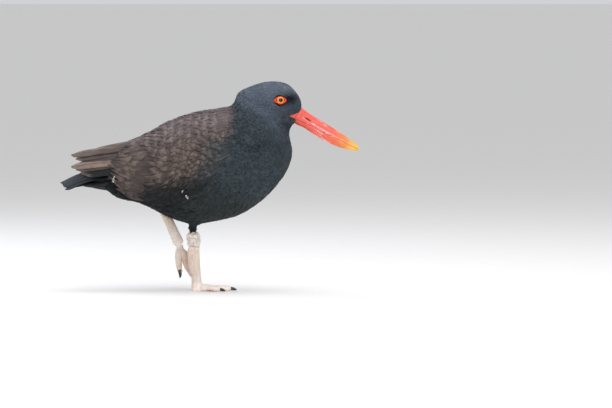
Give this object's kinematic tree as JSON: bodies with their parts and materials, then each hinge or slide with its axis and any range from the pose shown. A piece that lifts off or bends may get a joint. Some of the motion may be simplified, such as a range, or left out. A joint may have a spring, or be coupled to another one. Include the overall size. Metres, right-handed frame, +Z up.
{
  "type": "oystercatcher",
  "caption": "Life-size blackish oystercatcher, a stout wader with a long flattened bill, standing on its right foot with the left foot lifted; a still museum model.",
  "frame": {"origin": "on the floor, under the ankle of the standing foot", "axes": "+X the way the bird faces, +Y to its left, +Z up"},
  "size_m": [0.3581, 0.1152, 0.2521],
  "materials": {
    "feathers_slate": "soft matt feathers, slate black on head, neck and breast",
    "feathers_brown": "satin dark brown feathers with paler worn edges",
    "feathers_black": "blue-black tail feathers with a faint gloss",
    "bill_horn": "glossy coral red horn, orange then yellow at the tip",
    "eye_globe": "wet, yellow iris round a black pupil",
    "eye_ring": "bare orange-red skin",
    "leg_skin": "pale pinkish white net of small scales",
    "claw_horn": "worn dark horn"
  },
  "bodies": {
    "root": {"torso": "feathers_slate", "neck": "feathers_slate", "head": "feathers_slate", "thigh_right": "feathers_slate", "wing_left": "feathers_brown", "wing_right": "feathers_brown", "tail": "feathers_black", "bill_upper": "bill_horn", "bill_lower": "bill_horn", "eye_left": "eye_globe", "eye_right": "eye_globe", "eyelid_left": "eye_ring", "eyelid_right": "eye_ring", "tarsus_left": "leg_skin", "tarsus_right": "leg_skin", "toe_left_inner": "leg_skin", "toe_left_middle": "leg_skin", "toe_left_outer": "leg_skin", "toe_right_inner": "leg_skin", "toe_right_middle": "leg_skin", "toe_right_outer": "leg_skin", "claw_left_inner": "claw_horn", "claw_left_middle": "claw_horn", "claw_left_outer": "claw_horn", "claw_right_inner": "claw_horn", "claw_right_middle": "claw_horn", "claw_right_outer": "claw_horn"}
  },
  "joints": []
}
